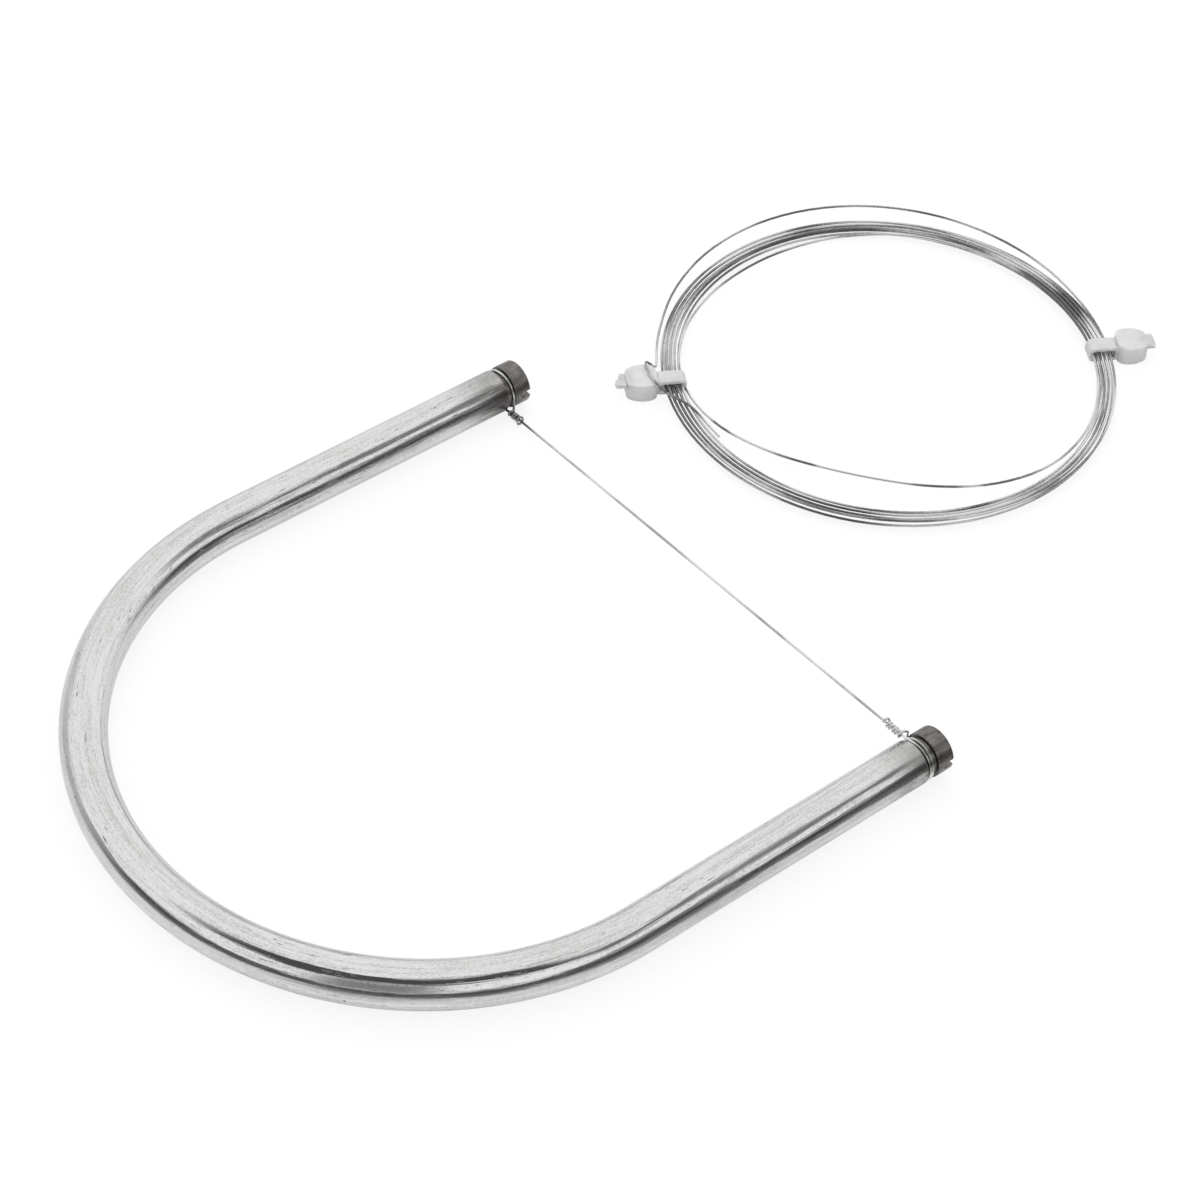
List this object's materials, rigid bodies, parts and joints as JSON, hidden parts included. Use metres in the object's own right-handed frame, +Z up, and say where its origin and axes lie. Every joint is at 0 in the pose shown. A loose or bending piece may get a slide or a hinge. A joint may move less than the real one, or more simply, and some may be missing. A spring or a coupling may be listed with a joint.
{
  "type": "wire bow clay cutter",
  "caption": "U-shaped steel tube bow with a slotted screw plug in each end, a looped and twisted cutting wire across its mouth, and a tied coil of spare wire beside it",
  "frame": {"origin": "on the surface the bow lies on, under the middle of the bow's own box (the spare coil left out)", "axes": "+Z up, out of the plane of the bow; +X from the bend towards the mouth, where the cutting wire is; +Y towards the far leg; the cutting wire runs along Y"},
  "size_m": [0.341, 0.191, 0.0127],
  "materials": {
    "tube_steel": "polished stainless tube with fine drawn lines along it",
    "plug_steel": "turned steel, darker and duller than the tube",
    "wire_steel": "bright drawn steel wire",
    "tie_nylon": "milky natural nylon"
  },
  "bodies": {
    "bow": {"bow_tube": "tube_steel", "cutting_wire": "wire_steel"},
    "far_plug": {"slotted_plug_far": "plug_steel"},
    "near_plug": {"slotted_plug_near": "plug_steel"},
    "spare_coil": {"spare_wire": "wire_steel", "cable_tie_left": "tie_nylon", "cable_tie_right": "tie_nylon"}
  },
  "joints": [
    {"name": "far_plug_turn", "type": "hinge", "parent": "bow", "child": "far_plug", "pos_m": [0.08385, 0.084, 0.006], "axis": [1, 0, 0], "range_deg": [-324, 360]},
    {"name": "near_plug_turn", "type": "hinge", "parent": "bow", "child": "near_plug", "pos_m": [0.08385, -0.084, 0.006], "axis": [1, 0, 0], "range_deg": [-432, 360]},
    {"name": "spare_coil_lift", "type": "slide", "parent": "bow", "child": "spare_coil", "axis": [0, 0, 1], "range_m": [0, 0.08]}
  ]
}
